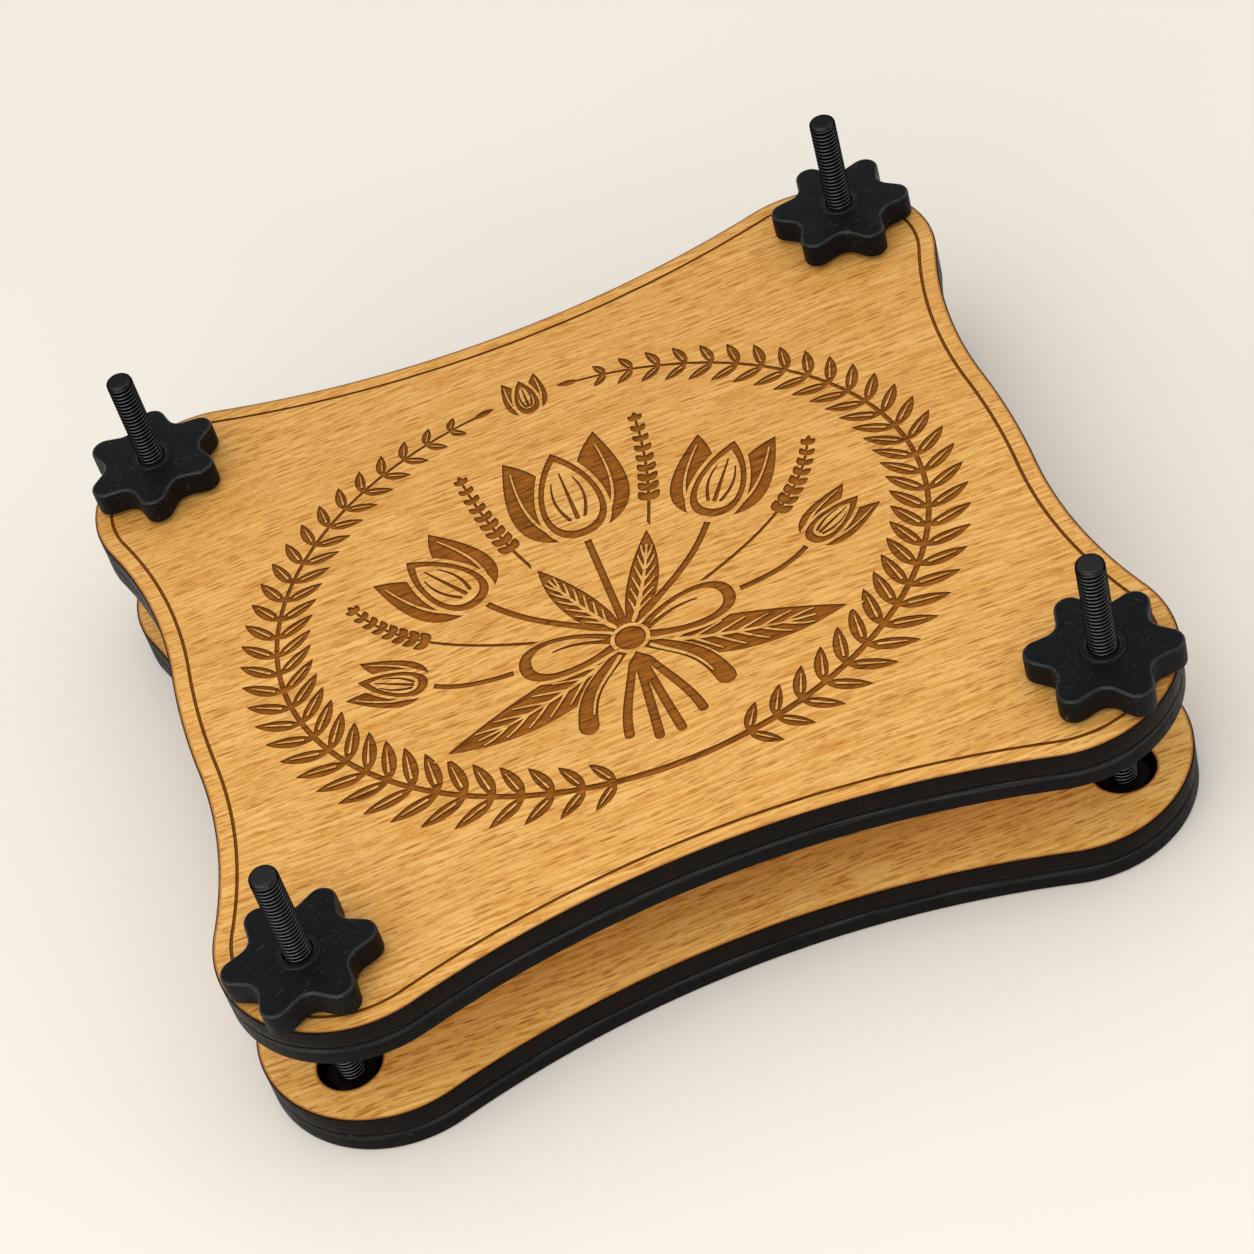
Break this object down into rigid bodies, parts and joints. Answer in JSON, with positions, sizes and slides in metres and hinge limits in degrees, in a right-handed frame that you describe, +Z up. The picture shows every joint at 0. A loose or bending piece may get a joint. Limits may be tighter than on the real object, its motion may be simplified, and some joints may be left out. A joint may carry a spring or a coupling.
{
  "type": "flower press",
  "caption": "Scalloped wooden flower press: an engraved cover slides on upright black bolts over a matching base and is drawn down by lobed star knobs.",
  "frame": {"origin": "centre of the base's underside, on the surface that the press stands on", "axes": "+X along the longer side of the boards, to the right; +Y from the front to the back; +Z up along the bolts"},
  "size_m": [0.203, 0.192, 0.0704],
  "materials": {
    "beech": "satin beech sheet with laser-charred edges",
    "black_steel": "black oxide, lightly oiled",
    "black_nylon": "moulded, fine matt grain",
    "insert_steel": "blackened steel, worn at the lip"
  },
  "bodies": {
    "base": {"base_bottom_panel": "beech", "base_top_panel": "beech", "bolt_front_left": "black_steel", "bolt_front_right": "black_steel", "bolt_back_left": "black_steel", "bolt_back_right": "black_steel", "lock_nut_front_left": "black_steel", "lock_nut_front_right": "black_steel", "lock_nut_back_left": "black_steel", "lock_nut_back_right": "black_steel"},
    "cover": {"cover_bottom_panel": "beech", "cover_top_panel": "beech"},
    "knob_front_left": {"star_knob_front_left": "black_nylon", "knob_insert_front_left": "insert_steel"},
    "knob_front_right": {"star_knob_front_right": "black_nylon", "knob_insert_front_right": "insert_steel"},
    "knob_back_left": {"star_knob_back_left": "black_nylon", "knob_insert_back_left": "insert_steel"},
    "knob_back_right": {"star_knob_back_right": "black_nylon", "knob_insert_back_right": "insert_steel"}
  },
  "joints": [
    {"name": "cover_slide", "type": "slide", "parent": "base", "child": "cover", "axis": [0, 0, 1], "range_m": [-0.019, 0.023]},
    {"name": "knob_front_left_turn", "type": "hinge", "parent": "cover", "child": "knob_front_left", "pos_m": [-0.084, -0.0785, 0.0434], "axis": [0, 0, 1], "range_deg": [-6840, 8280]},
    {"name": "knob_front_right_turn", "type": "hinge", "parent": "cover", "child": "knob_front_right", "pos_m": [0.084, -0.0785, 0.0434], "axis": [0, 0, 1], "range_deg": [-6840, 8280]},
    {"name": "knob_back_left_turn", "type": "hinge", "parent": "cover", "child": "knob_back_left", "pos_m": [-0.084, 0.0785, 0.0434], "axis": [0, 0, 1], "range_deg": [-6840, 8280]},
    {"name": "knob_back_right_turn", "type": "hinge", "parent": "cover", "child": "knob_back_right", "pos_m": [0.084, 0.0785, 0.0434], "axis": [0, 0, 1], "range_deg": [-6840, 8280]}
  ],
  "couplings": [
    {"joint": "knob_front_left_turn", "follows": "cover_slide", "rad_per_m": 6283.2},
    {"joint": "knob_front_right_turn", "follows": "cover_slide", "rad_per_m": 6283.2},
    {"joint": "knob_back_left_turn", "follows": "cover_slide", "rad_per_m": 6283.2},
    {"joint": "knob_back_right_turn", "follows": "cover_slide", "rad_per_m": 6283.2}
  ]
}
